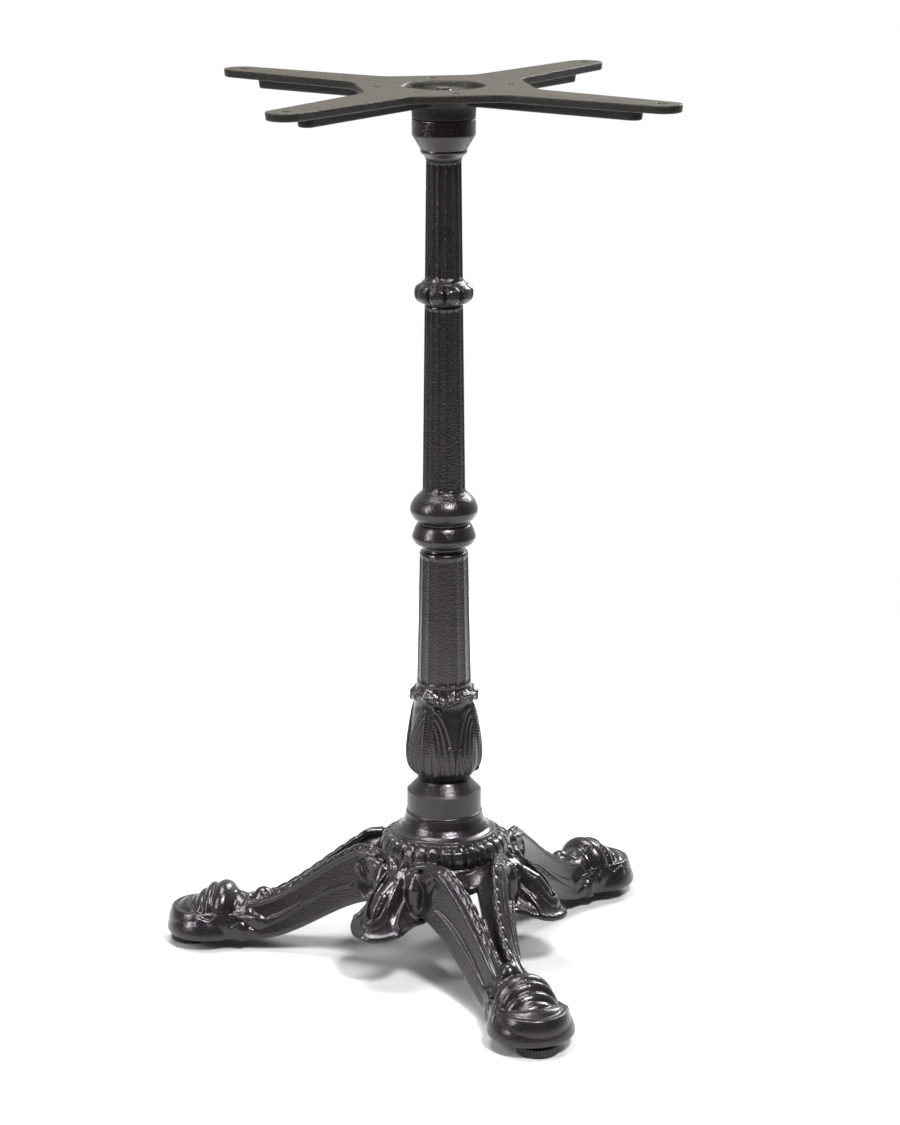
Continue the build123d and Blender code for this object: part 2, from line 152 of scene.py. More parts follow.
def outline(u, v, corners):
    """Signed distance in a plane to a closed outline of straight edges."""
    corners = np.array(corners, float)
    best = np.full(u.shape, 1e9, u.dtype)
    inside = np.zeros(u.shape, bool)
    for (u0, v0), (u1, v1) in zip(corners, np.roll(corners, -1, axis=0)):
        du, dv = u1 - u0, v1 - v0
        t = np.clip(((u - u0) * du + (v - v0) * dv) / (du * du + dv * dv), 0, 1)
        best = np.minimum(best, (u - u0 - t * du) ** 2 + (v - v0 - t * dv) ** 2)
        if dv:
            crosses = ((v0 > v) != (v1 > v)) & (u < u0 + (v - v0) * du / dv)
            inside ^= crosses
    return np.where(inside, -1, 1) * np.sqrt(best)


# ============================== surface nets ==============================
BLOCK = 8                     # cells along a block's side
BATCH = 1500                  # blocks worked out at a time
FAR = 1e3


def surface_net(values):
    """Points (in cells) and quads of the zero level of a grid of values, negative inside."""
    inside = values < 0
    strides = np.array([values.shape[1] * values.shape[2], values.shape[2], 1])
    corners, places, turned = [], [], []
    for axis in range(3):
        unit = np.eye(3, dtype=np.int64)
        along = [slice(None)] * 3
        ahead = [slice(None)] * 3
        along[axis], ahead[axis] = slice(None, -1), slice(1, None)
        at = np.argwhere(inside[tuple(along)] != inside[tuple(ahead)])
        flat = at @ strides
        f0 = values.ravel()[flat]
        f1 = values.ravel()[flat + strides[axis]]
        places.append(at + (f0 / (f0 - f1))[:, None] * unit[axis])
        u, v = strides[(axis + 1) % 3], strides[(axis + 2) % 3]
        corners.append(np.stack([flat, flat - u, flat - u - v, flat - v], axis=1))
        turned.append(f0 > 0)
    corners, places = np.concatenate(corners), np.concatenate(places)
    turned = np.concatenate(turned)
    cells, quads = np.unique(corners, return_inverse=True)
    quads = quads.reshape(-1, 4)
    count = np.bincount(quads.ravel(), minlength=len(cells))
    points = np.empty((len(cells), 3))
    for i in range(3):
        points[:, i] = np.bincount(quads.ravel(), np.repeat(places[:, i], 4), len(cells)) / count
    quads[turned] = quads[turned][:, ::-1]
    return points, quads


def cast(name, field, low, high, cell):
    """Mesh object of a field over a box in millimetres.

    Only blocks of cells near the surface are worked out in full.
    """
    low, high = np.array(low, float) - 2 * cell, np.array(high, float) + 2 * cell
    blocks = np.ceil((high - low) / (cell * BLOCK)).astype(int)
    counts = [np.arange(n) for n in blocks]
    index = np.stack(np.meshgrid(*counts, indexing="ij"), axis=-1).reshape(-1, 3)
    middle = (low + (index + 0.5) * BLOCK * cell).astype(np.float32)
    rough = field([middle[:, i] for i in range(3)])
    values = np.empty((blocks[0], BLOCK, blocks[1], BLOCK, blocks[2], BLOCK), np.float32)
    values[:] = (np.sign(rough) * FAR).reshape(blocks)[:, None, :, None, :, None]
    near = index[np.abs(rough) < 1.5 * BLOCK * cell]
    local = np.arange(BLOCK) * cell
    for start in range(0, len(near), BATCH):
        some = near[start:start + BATCH]
        corner = low + some * BLOCK * cell
        grid = []
        for i in range(3):
            steps = local.reshape([BLOCK if i == j else 1 for j in range(3)])
            line = corner[:, i].reshape(-1, 1, 1, 1) + steps
            grid.append(np.broadcast_to(line, (len(some), BLOCK, BLOCK, BLOCK)).astype(np.float32))
        values[some[:, 0], :, some[:, 1], :, some[:, 2], :] = field(grid)
    points, quads = surface_net(values.reshape(blocks * BLOCK))
    return mesh_object(name, low + relaxed(points, quads) * cell, quads)


def relaxed(points, quads):
    """Takes the cells' stair-steps out of a net, by passes that shrink it and swell it again."""
    here, ahead = quads.ravel(), np.roll(quads, -1, axis=1).ravel()
    ends, others = np.concatenate([here, ahead]), np.concatenate([ahead, here])
    size = len(points)
    count = np.bincount(ends, minlength=size)[:, None]
    for share in (0.5, -0.52) * 3:
        near = np.stack([np.bincount(ends, points[others, i], size) for i in range(3)], axis=1)
        points = points + share * (near / count - points)
    return points


def mesh_object(name, points, faces):
    """Smooth-shaded object from points in millimetres and faces of one size."""
    points = np.asarray(points, np.float32) * np.float32(MM)
    faces = np.asarray(faces, np.int32)
    mesh = bpy.data.meshes.new(name)
    mesh.vertices.add(len(points))
    mesh.vertices.foreach_set("co", points.ravel())
    mesh.loops.add(faces.size)
    mesh.loops.foreach_set("vertex_index", faces.ravel())
    mesh.polygons.add(len(faces))
    mesh.polygons.foreach_set("loop_start", np.arange(0, faces.size, faces.shape[1], dtype=np.int32))
    mesh.polygons.foreach_set("use_smooth", np.ones(len(faces), bool))
    mesh.update(calc_edges=True)
    mesh.validate()
    piece = bpy.data.objects.new(name, mesh)
    bpy.context.scene.collection.objects.link(piece)
    return piece


def stand_in(piece, body, slot, node):
    """A finished piece rides on its body, takes its slot's finish, and stands for its CAD node."""
    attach(piece, body)
    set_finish(piece, slot)
    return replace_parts(piece, node)


# ============================== base casting ==============================
BASE_CELL = 0.8
HUB_REACH = 70                # the hub's parts lie within this radius
RING_LOBES = 30
WALL_HALF = 4.0               # half the thickness of a leg wall
WALL_RUN = (50, 168)          # distances from the axis that the wall covers
BEAD_LENGTH = 11.5            # one scale of the crest rope
BEAD_START = 58
ROPE_RUN = (56, 160)
ROPE_RADIUS = 3.9
STRIP_RUN = (72, 151)
STRIP_RISE = 3.6              # half the strip's thickness, through the wall's face
SOLE_Z = 8.9
# Lines of a leg wall, as polynomials of the distance a from the column's axis: sideways
# gap and height of the crest rope, the strip on the outer face, and the bottom edge.
CREST_SIDE = np.polyfit((45, 105, 165), (29.2, 9.4, 6.4), 2)
CREST_UP = np.polyfit((45, 85, 125, 165), (105.5, 86.3, 57.0, 40.1), 3)
STRIP_SIDE = np.polyfit((45, 105, 165), (43.1, 21.8, 16.2), 2)
STRIP_UP = np.polyfit((45, 85, 125, 165), (63.8, 62.9, 36.9, 21.2), 3)
FOOT_SIDE = np.polyfit((45, 105, 165), (46.0, 25.1, 22.1), 2)
FOOT_UP = np.polyfit((45, 85, 125, 165), (60.0, 42.6, 18.7, 10.0), 3)
FITTED = (44, 168)            # the polynomials hold between these distances
CREST_LIMIT = 97.5
# Round lines beside the crest: offset outwards and upwards, radius, and where they start and end.
GROOVE = (5.2, 0.8, 1.9, 64, 158)
RIM = (8.2, -2.2, 1.35, 58, 164)
INNER = (-2.6, -4.0, 1.1, 70, 141)


def hub_field(radius, turn, z):
    """Neck, gadrooned ring and skirt, with the pocket for the lower nut underneath."""
    top = COLLAR_FOOT_Z
    section = [
        (6.6, top - 6), (15.5, top - 6), (15.5, top), (30.7, top), (31.4, top - 4), (33.2, top - 9.5),
        (36.4, top - 14.2), (40.5, top - 16.6), (41.6, top - 18.6), (43.5, top - 19), (46.8, top - 19.6),
        (50.2, top - 22.4), (52.2, top - 27), (52.6, top - 31), (51.6, top - 34.6), (50.0, top - 36.4),
        (51.4, top - 37.4), (51.2, top - 39.6), (47.5, top - 42), (44.5, top - 47),
        (41, top - 47), (38, top - 31), (19, top - 27), (17, top - 44), (6.6, top - 44),
    ]
    solid = outline(radius, z, section) - 0.4
    part = np.abs((turn * RING_LOBES / math.tau) % 1 - 0.5) * 2
    high = top - 19.4 - 3.0 * part ** 2
    on = step(radius, 41.5, 43.0) * step(z, top - 36.6, top - 35.4) * (1 - step(z, top - 17.6, top - 16.8))
    notch = 2.4 * step(part, 0.70, 0.98)
    above = step(z, high - 1.0, high + 1.6) * 0.9
    ring = solid + np.maximum(notch, above) * on
    lip = np.hypot(radius - 40.8, z - top + 17.2) - 1.4
    foot = np.hypot(radius - 50.6, z - top + 38.4) - 1.7
    return blend(ring, np.minimum(lip, foot), 0.6)


def wall_field(a, side, z):
    """One leaning leg wall with its crest rope, rim line and strip."""
    reach = np.clip(a, *FITTED)
    crest_side = np.polyval(CREST_SIDE, reach)
    crest_up = np.minimum(np.polyval(CREST_UP, reach), CREST_LIMIT)
    # slab between a line under the crest and one above the bottom edge
    top_s, top_z = crest_side + 4.4, crest_up - 3.4
    low_s, low_z = np.polyval(FOOT_SIDE, reach) - 3.6, np.polyval(FOOT_UP, reach) + 4.0
    ds, dz = low_s - top_s, low_z - top_z
    t = np.clip(((side - top_s) * ds + (z - top_z) * dz) / (ds * ds + dz * dz), 0, 1)
    slab = np.sqrt((side - top_s - t * ds) ** 2 + (z - top_z - t * dz) ** 2) * 0.9 - WALL_HALF * 0.9
    slab = keep(slab, between(a, *WALL_RUN), 3)
    # rope: scales along the crest, from about a third of the way down
    phase = ((a - BEAD_START - 0.5 * (side - crest_side)) * 1.2 / BEAD_LENGTH) % 1
    cut = 0.75 * np.exp(-(phase / 0.12) ** 2) + 0.75 * np.exp(-((1 - phase) / 0.30) ** 2)
    thick = ROPE_RADIUS - 0.7 * step(a, 120, 160) - cut * step(a, 60, 76)
    rope = np.sqrt((side - crest_side) ** 2 + ((z - crest_up + 1.2) * 0.93) ** 2) - thick
    rope = np.maximum(rope, between(a, *ROPE_RUN))

    def crest_line(out, up, radius, low, high):
        """Round line that runs beside the crest."""
        gap = np.sqrt((side - crest_side - out) ** 2 + (z - crest_up - up) ** 2)
        return np.maximum(gap - radius, between(a, low, high))

    # strip on the outer face, wider towards the foot
    wide = 1.1 + 2.0 * step(a, 80, 150)
    off_s, off_z = side - np.polyval(STRIP_SIDE, reach), z - np.polyval(STRIP_UP, reach)
    lean_s, lean_z = ds / np.hypot(ds, dz), dz / np.hypot(ds, dz)
    along, out = off_s * lean_s + off_z * lean_z, off_z * lean_s - off_s * lean_z
    strip = np.maximum(np.abs(along) - wide, np.abs(out) - STRIP_RISE)
    strip = np.maximum(strip, between(a, *STRIP_RUN))
    wall = blend(carve(slab, crest_line(*GROOVE), 1.0), rope, 1.0)
    wall = blend(wall, np.minimum(crest_line(*RIM), crest_line(*INNER)), 0.8)
    return blend(wall, strip, 0.5)


# Bottom of the trough: distance from the column's axis, height.
TROUGH_REACH = (44, 50, 57, 64, 75, 91, 105, 125, 145, 168)
TROUGH_FLOOR = (93, 90, 85, 79.5, 73, 64.5, 56, 44.5, 38, 32)
TROUGH_LIMIT = 98.5
SLOT_RUN = (64, 92)
SLOT_HALF = 4.8


def trough_field(a, side, z):
    """V-shaped trough between the two crests, from the ring to the toe, slotted in its bottom."""
    reach = np.clip(a, *FITTED)
    crest_side = np.polyval(CREST_SIDE, reach)
    crest_up = np.minimum(np.polyval(CREST_UP, reach), TROUGH_LIMIT)
    floor = np.interp(reach, TROUGH_REACH, TROUGH_FLOOR).astype(a.dtype)
    part = np.clip(side / crest_side, 0, 1)
    sheet_z = floor + (crest_up - 4.5 - floor) * part ** 1.5
    sheet = np.abs(z - sheet_z + 3.2) * 0.62 - 2.0
    width = side - crest_side - 3.5
    trough = keep(np.maximum(sheet, width), between(a, 42, 166), 2.5)
    slot = side - SLOT_HALF * np.clip((91.5 - a) / 27, 0, 1) ** 0.8
    return carve(trough, np.maximum(slot, between(a, *SLOT_RUN)), 1.5)


def ear_field(wall, p):
    """Arched inner end of a leg wall: a rim round a hollow that holds a bean-shaped boss."""
    body = path(
        p,
        [(60, 27, 84), (48, 33, 84), (41, 38, 80), (41, 40, 70), (46, 38, 58)],
        [7.5, 8.0, 8.0, 7.5, 6.5],
    )
    ear = blend(wall, body, 3.0)
    # the hollow lies along the face, which is turned half-way between outwards and sideways
    out, aside = p[0] - 51, p[1] - 41.5
    turned = [out * 0.90 - aside * 0.43, out * 0.43 + aside * 0.90, p[2]]
    hollow = ball(turned, (1, 2.5, 75), (15.5, 7.5, 15.0))
    ear = carve(ear, hollow, 1.5)
    scoop = path(p, [(63, 32, 88), (58, 38, 76), (58, 41, 66)], [3.4, 3.8, 2.6])
    ear = carve(ear, scoop, 2.0)
    rim = path(
        p,
        [(72, 18.8, 92.5), (66, 20.8, 94.5), (58, 23, 96), (50, 26.5, 96.2), (44, 30.5, 95.8),
         (39, 35.5, 94.2), (35.5, 40, 91), (34, 43.5, 85.5), (33.8, 45.5, 77), (35, 46, 68),
         (39, 44.5, 59.5), (45, 41.5, 53)],
        [3.0, 3.2, 3.3, 3.3, 3.3, 3.2, 3.1, 3.0, 2.9, 2.8, 2.7, 2.7],
    )
    boss = path(
        p,
        [(42.5, 38.5, 84.5), (44, 40.5, 77), (44.5, 41, 68), (46.5, 40, 59)],
        [7.0, 8.4, 8.0, 6.0],
    )
    ear = blend(ear, rim, 1.6)
    return blend(ear, boss, 0.8)


# Along a pendant's middle: distance from the axis, height of its ridge, height of its
# skirt's lower edge, and half-width.
PENDANT = np.array([
    (50, 91, 55, 29), (58, 87, 54.5, 29), (66, 82.5, 54, 26.5), (74, 77, 53, 27), (80, 71, 51.5, 27.5),
    (86, 63, 49.5, 26), (90, 57.5, 48, 23.5), (94, 53, 46.5, 19.5), (98, 49.0, 45.5, 14), (101, 46.8, 45, 9),
    (104, 45, 44.5, 4),
])
# Plan of half a pendant, the line round its tongue, and the crease down its skirt: distance
# from the axis, distance from its middle.
PENDANT_PLAN = [(44, -9), (44, 29), (58, 29), (66, 26.5), (74, 27), (80, 27.5), (86, 26), (90, 23.5),
                (94, 19.5), (98, 14), (101.5, 8), (103, 3), (103.4, 0), (103.4, -9)]
TONGUE_LINE = [(64, 9.5), (74, 11.2), (84, 11.0), (90, 8.6), (93.5, 4.8), (94.5, 0)]
SKIRT_LINE = [(60, 13.5), (68, 16.0), (76, 18.0), (82, 20.5), (84, 24)]


def line_gap(g, h, points):
    """Distance in the plan to a line of points."""
    best = np.full(g.shape, FAR, g.dtype)
    for (g0, h0), (g1, h1) in zip(points[:-1], points[1:]):
        dg, dh = g1 - g0, h1 - h0
        t = np.clip(((g - g0) * dg + (h - h0) * dh) / (dg * dg + dh * dh), 0, 1)
        best = np.minimum(best, np.hypot(g - g0 - t * dg, h - h0 - t * dh))
    return best


def pendant_field(p):
    """Leaf that hangs between two legs like a bell's skirt, with three reeds above it."""
    g, h, z = p
    across = np.abs(h)
    reach = np.clip(g, 50, 104)
    reaches, *columns = PENDANT.T
    ridge, edge, half = [np.interp(reach, reaches, column).astype(g.dtype) for column in columns]
    flat = np.interp(reach, (50, 84, 96), (8.5, 9.0, 1.0)).astype(g.dtype)
    s = np.clip((across - flat) / np.maximum(half - flat, 1), 0, 1)
    sheet = ridge + (edge - ridge) * (1 - (1 - s) ** 1.7)
    # bead round the tongue, crease down the skirt, and the hollow inside the bead
    border = line_gap(g, across, TONGUE_LINE)
    outer = line_gap(g, across, SKIRT_LINE)
    inside = step(g, 63, 68) * step(92.5 - g, 0, 3) * step(9.5 - across, 0, 2.5)
    bead = np.hypot(border, (z - sheet) * 0.7 - 0.9) - 2.3
    crease = np.hypot(outer, (z - sheet) * 0.6 - 0.3) - 1.5
    sheet = sheet - 4.2 * inside
    whole = keep(np.abs(z - sheet + 2.4) * 0.62 - 1.5, outline(g, across, PENDANT_PLAN), 2.2)
    whole = blend(whole, np.minimum(bead, crease), 0.8)
    tongue = path(p, [(66, 0, 77), (76, 0, 71.0), (84, 0, 61.5), (87, 0, 57)], [4.2, 5.6, 5.2, 4.0])
    whole = blend(whole, tongue, 0.8)
    filling = path(p, [(54, 0, 80), (66, 0, 71), (78, 0, 60)], [9, 9, 7])
    whole = blend(whole, filling, 4)
    mirror = [g, across, z]
    reeds = path(p, [(49, 0, 94), (55, 0, 86.5), (64, 0, 79.5)], [4.0, 4.0, 3.4])
    side_reed = path(mirror, [(48, 9.5, 94), (54, 10.5, 86), (62, 11.5, 78)], [3.7, 3.7, 3.0])
    return blend(whole, np.minimum(reeds, side_reed), 1.0)


def leg_field(a, side, z):
    """Wall, ear and trough of one side of a leg."""
    return blend(ear_field(wall_field(a, side, z), [a, side, z]), trough_field(a, side, z), 2.0)


# Upper edge of the slipper: distance from the axis, height.
SLIPPER_REACH = (150, 161, 168, 173.5, 176, 182, 188, 193.5, 203.5, 211.6, 219, 224)
SLIPPER_EDGE = (16, 20, 25.5, 22.5, 20.5, 34, 31.5, 26.0, 30.0, 33.5, 34.5, 60)
# Toe folds, from the instep forwards: centre, radii, and fillet to what is behind.
FOLDS = (
    ((186.5, 0, 26), (14.2, 25.5, 26.5), 0.8),
    ((196.5, 0, 24), (9.0, 25.0, 26.0), 0.5),
    ((203.5, 0, 22), (9.5, 23.5, 22.0), 0.5),
    ((210.0, 0, 20), (9.5, 21.0, 18.2), 0.6),
)
TOE = 204                     # centre of the sole's round toe
SOLE_LENGTH = 42              # from there to the centre of its round heel


def shoe_field(p):
    """Slipper foot: toe cap with its rim line, dome with three folds, collar and knot."""
    a, b, z = p
    side = np.abs(b)
    mirror = [a, side, z]
    # plan outline, a tapered round bar seen from above, bulging at mid height
    t = np.clip((TOE - a) / SOLE_LENGTH, 0, 1)
    plan = np.sqrt((a - TOE + SOLE_LENGTH * t) ** 2 + side ** 2) - (33.0 - 10.5 * t)
    swell = 0.020 * np.minimum(z - 15, 0) ** 2 + 0.022 * np.maximum(z - 18, 0) ** 2
    low = 9.2 - z
    shell = keep(plan + swell, low, 5.0)
    shell = keep(shell, a - TOE, 2.0)
    cap = ball(p, (201.5, 0, 10), (34.6, 35.0, 30))
    shell = np.minimum(shell, keep(cap, low, 5.0))
    # the shell ends at the slipper's edge, and a smaller body fills it
    edge = np.interp(a, SLIPPER_REACH, SLIPPER_EDGE).astype(a.dtype)
    shell = keep(shell, (z - edge) * 0.6, 1.2)
    inner = ball(p, (203, 0, 12), (30.0, 29.5, 23.5))
    inner = blend(inner, keep(plan + swell + 2.2, low, 5.0), 2)
    inner = np.maximum(inner, (z - 31) * 0.9)
    foot = np.minimum(shell, keep(inner, low, 5))
    for centre, radii, soft in FOLDS:
        foot = blend(foot, ball(p, centre, radii), soft)
    curl = ball(mirror, (167.5, 19.5, 15), (6.6, 6.0, 11.0))
    foot = blend(foot, curl, 0.6)
    neck = path(mirror, [(176, 0, 30), (164, 9, 27), (154, 12, 24)], [15, 11, 9])
    foot = blend(foot, neck, 2)
    collar = ball(p, (165.0, 0, 27), (4.2, 17.0, 16.5))
    foot = blend(foot, collar, 1.0)
    knot = ball(p, (153.5, 0, 36.5), (9.8, 10.0, 13.2))
    foot = blend(foot, knot, 1.0)
    ridge = path(mirror, [(146, 17.0, 25.5), (156, 19.0, 27.5), (170, 22.5, 29.5)], [1.3, 1.5, 1.5])
    return blend(foot, ridge, 0.8)


def base_field(p):
    """The whole base casting, folded on to one leg and one gap between legs."""
    x, y, z = p
    radius = np.hypot(x, y)
    turn = np.arctan2(y, x) - FRONT_LEG
    sector = math.tau / LEGS
    off_leg = (turn + sector / 2) % sector - sector / 2
    off_gap = turn % sector - sector / 2
    a, b = radius * np.cos(off_leg), radius * np.sin(off_leg)
    g, h = radius * np.cos(off_gap), radius * np.sin(off_gap)
    side = np.abs(b)
    whole = np.full(x.shape, FAR, x.dtype)

    def add(near, part, soft):
        """Blends a part in, worked out only where it can reach."""
        if near.any():
            whole[near] = blend(whole[near], part(near), soft)

    add(radius < HUB_REACH, lambda n: hub_field(radius[n], turn[n], z[n]), 0.1)
    add((g > 35) & (g < 120), lambda n: pendant_field([g[n], h[n], z[n]]), 1.5)
    add((a > 25) & (a < 185), lambda n: leg_field(a[n], side[n], z[n]), 1.2)
    add(a > 130, lambda n: shoe_field([a[n], b[n], z[n]]), 1.2)
    return np.maximum(whole, SOLE_Z - z)


base = cast("base", base_field, BASE_LOW - 1, BASE_HIGH + 1, BASE_CELL)
stand_in(base, "frame", "black_coat", "base_casting")


# ============================== column ==============================
FLUTES = 16
RING_PETALS = 10
LEAVES = 4
MIDRIB = math.radians(-136.5)     # midrib of the leaf that shows in front
RIB_ASIDE = 6.5                   # degrees from a midrib to each of its two lines
# Arched veins on each side of a midrib: degrees to the outer end, then heights of the top
# and the foot as shares of the vase's.
VEINS = ((15, 0.66, 0.08), (24, 0.78, 0.08), (33.5, 0.87, 0.10), (43, 0.95, 0.12))
VEIN_START = 7                    # degrees from the midrib
VASE_LOW, VASE_HIGH = 158, 222
BERRIES = ((-14, 164.5), (14, 164.5), (-37, 188), (37, 188))   # degrees from a midrib, height
BERRY_RADIUS = 2.2
LEAF_TIPS = 4
LEAF_TIP = math.radians(-110.5)   # a leaf tip that droops in front
LIP_Z = 228
ROW_STEP = 0.55                   # spacing of the grid's rows
AROUND = 512
RELIEF_FROM, RELIEF_TO = 13.9, 681   # least radius and greatest height that carry relief
# (radius, height) runs up the outside; a run marked True is a smooth curve
OUTSIDE = [
    # spigot, collar, and the leaf vase with its lip
    (False, [(15, 122.3), (15, 128.3), (30.0, 128.3), (30.3, 128.8), (30.3, 145.6), (29.4, 146.5),
             (22.3, 154.2), (21.6, 155.2), (19.6, 155.6), (18.6, 156.6)]),
    (True, [(18.6, 156.6), (22.5, 158.6), (27.2, 164.5), (29.6, 172), (30.0, 178), (29.3, 188),
            (27.6, 200), (25.6, 212), (24.2, 221.5), (24.3, 222.6)]),
    (True, [(24.4, 223.5), (26.0, 225.8), (27.8, 228.2), (28.0, 229.6), (27.0, 230.6), (24.5, 232),
            (22.6, 234.5), (22.2, 236)]),
    # lower shaft and the two round mouldings
    (False, [(22.2, 236), (19.55, 345)]),
    (True, [(19.55, 345), (18.9, 346.6), (16.8, 347.6), (16.3, 349.2), (16.6, 350.6), (17.4, 351.3)]),
    (True, [(17.4, 351.3), (20.5, 352.2), (24.0, 354.6), (25.5, 358.6), (24.3, 363.5), (22.6, 367.6),
            (21.8, 368.9), (19.9, 370.0)]),
    (True, [(20.2, 371.2), (22.5, 372.6), (25.8, 376.2), (27.2, 381), (26.2, 386), (23.4, 390.6),
            (20, 394), (17.6, 396.5)]),
    # middle shaft and the ring of petals
    (False, [(17.15, 397.5), (15.35, 546), (15.0, 547), (14.0, 547.8), (14.2, 548.6)]),
    (True, [(14.2, 548.6), (17.5, 549), (21.5, 551), (23.2, 554.5), (23.4, 557), (23.2, 560),
            (21.2, 563.6), (18, 565.6), (15.6, 567.2)]),
    # upper shaft and the cup
    (False, [(15.1, 568.5), (14.0, 659)]),
    (True, [(14.0, 659), (14.2, 662), (14.6, 664), (16.4, 666.2), (18.2, 668), (18.5, 669.2),
            (18.2, 670.4)]),
    (False, [(18.2, 670.4), (24.6, 681), (25.1, 682.5), (25.1, 694), (24.8, COLUMN_TOP_Z),
             (17.5, COLUMN_TOP_Z)]),
]
INSIDE = [(17.5, 687.5), (8.2, 687.5), (8.2, 122.3)]
# Flutes of each shaft: lower end, upper end, depth.
SHAFTS = ((238.5, 343.5, 1.0), (398.5, 545, 1.3), (569, 661, 1.3))
FLUTE_END = 3.0               # length of a flute's rounded end
LAND = 2.15                   # pitch of the flutes over half a flute's width


FINE = 0.4                    # spacing of points on a curve


def curve(points):
    """Points close together on a smooth curve through the given ones."""
    points = np.array(points, float)
    run = np.concatenate([[0], np.cumsum(np.hypot(*np.diff(points, axis=0).T))])
    slope = np.gradient(points, run, axis=0)
    found = []
    for i in range(len(points) - 1):
        long = run[i + 1] - run[i]
        t = np.linspace(0, 1, max(2, int(long / FINE)), endpoint=False)[:, None]
        found.append(
            (2 * t**3 - 3 * t**2 + 1) * points[i] + (t**3 - 2 * t**2 + t) * long * slope[i]
            + (3 * t**2 - 2 * t**3) * points[i + 1] + (t**3 - t**2) * long * slope[i + 1]
        )
    return np.concatenate(found + [points[-1:]])


def evenly(points, gap):
    """The same line with points no further apart than gap, corners kept."""
    found = []
    for a, b in zip(points[:-1], points[1:]):
        count = max(1, math.ceil(math.dist(a, b) / gap))
        found.append(a + (b - a) * np.linspace(0, 1, count, endpoint=False)[:, None])
    return np.concatenate(found + [points[-1:]])


def bell(value, width):
    """1 at zero, falling off smoothly over the width on both sides."""
    return np.exp(-(value / width) ** 2)


def leaf_relief(z, turn):
    """Relief of the vase: leaves with a beaded double midrib, arched veins and berries."""
    t = np.clip((z - VASE_LOW) / (VASE_HIGH - VASE_LOW), 0, 1)
    sector = math.tau / LEAVES
    off = (turn - MIDRIB + sector / 2) % sector - sector / 2
    aside = np.degrees(np.abs(off))
    beads = 0.8 + 0.2 * np.sin(z * math.tau / 2.4)
    rib_run = step(t, 0.10, 0.22)
    rib = bell(aside - RIB_ASIDE, 2.2) * rib_run * beads
    veins = np.zeros_like(aside + t)
    for place, top, foot in VEINS:
        span = place - VEIN_START
        arch = np.hypot(np.maximum(aside - VEIN_START, 0) / span, np.maximum(t - foot, 0) / (top - foot))
        line = bell((arch - 1) * span, 2.3) * (aside > RIB_ASIDE)
        veins = np.maximum(veins, line * step(t, 0.03, 0.14))
    whole = rib + 1.5 * veins - 0.9 * bell(aside, 2.6) * rib_run
    for angle, up in BERRIES:
        away = (np.degrees(off) - angle) * 0.49
        berry = np.clip(1 - (away ** 2 + (z - up) ** 2) / BERRY_RADIUS ** 2, 0, 1)
        whole = np.maximum(whole, 2.0 * np.sqrt(berry))
    return whole * step(z, 157.6, 160) * (1 - step(z, 219.5, 223))


def lip_place(turn):
    """0 at a leaf tip, 1 half-way between two."""
    return np.abs(((turn - LEAF_TIP) * LEAF_TIPS / math.tau + 0.5) % 1 - 0.5) * 2


def relief(z, turn):
    """How far the column's outer face stands off its profile, by height and angle."""
    whole = leaf_relief(z, turn)
    for low, high, depth in SHAFTS:
        u = (turn * FLUTES / math.tau + 0.5) % 1 - 0.5
        ends = np.minimum(z - low, high - z)
        run = np.sqrt(np.clip(1 - np.clip(1 - ends / FLUTE_END, 0, 1) ** 2, 0, 1))
        whole = whole - depth * np.sqrt(np.clip(1 - (LAND * u) ** 2, 0, 1)) * run
    # rolled leaf edges at the neck of the vase: two slanting curls and a notch at each tip
    tip = lip_place(turn)
    over = step(z, 222.5, 226) * (1 - step(z, 231, 236))
    slant = tip - (z - LIP_Z) / 30
    curl = bell(slant - 0.30, 0.09) + bell(slant - 0.70, 0.10)
    whole = whole + (1.1 * curl - 1.4 * bell(tip - (z - LIP_Z + 2) / 40, 0.05)) * over
    # cushions round the ring of petals
    lobe = np.abs((turn * RING_PETALS / math.tau) % 1 - 0.5) * 2
    ring = step(z, 548.8, 550.5) * (1 - step(z, 564.0, 566.5))
    high_edge, low_edge = 561.5 - 3.5 * lobe ** 2, 549.5 + 3.0 * lobe ** 2
    arched = 1.6 * step(z, high_edge, high_edge + 4.5)
    scallop = 1.6 * (1 - step(z, low_edge, low_edge + 3)) * step(lobe, 0.2, 0.9)
    groove = 3.4 * step(lobe, 0.70, 1.0)
    return whole - ring * np.maximum(np.maximum(groove, arched), scallop)


def droop(z, turn):
    """How far the rolled leaf edges hang down, by height and angle."""
    hang = 1.5 - 7.0 * (1 - lip_place(turn)) ** 1.3
    return hang * step(z, 221, 227) * (1 - step(z, LIP_Z, 238))


def wrapped(radius, height, centre):
    """Points and quads of a grid of (row, angle) wrapped round an upright axis and closed both ways."""
    rows, around = radius.shape
    turn = np.arange(around) / around * math.tau
    points = np.stack(
        [centre[0] + radius * np.cos(turn), centre[1] + radius * np.sin(turn), height], axis=-1
    ).reshape(-1, 3)
    row, across = np.arange(rows)[:, None] * around, np.arange(around)[None, :]
    after, beside = (row + around) % (rows * around), (across + 1) % around
    faces = np.stack([row + across, row + beside, after + beside, after + across], axis=-1)
    return points, faces.reshape(-1, 4)


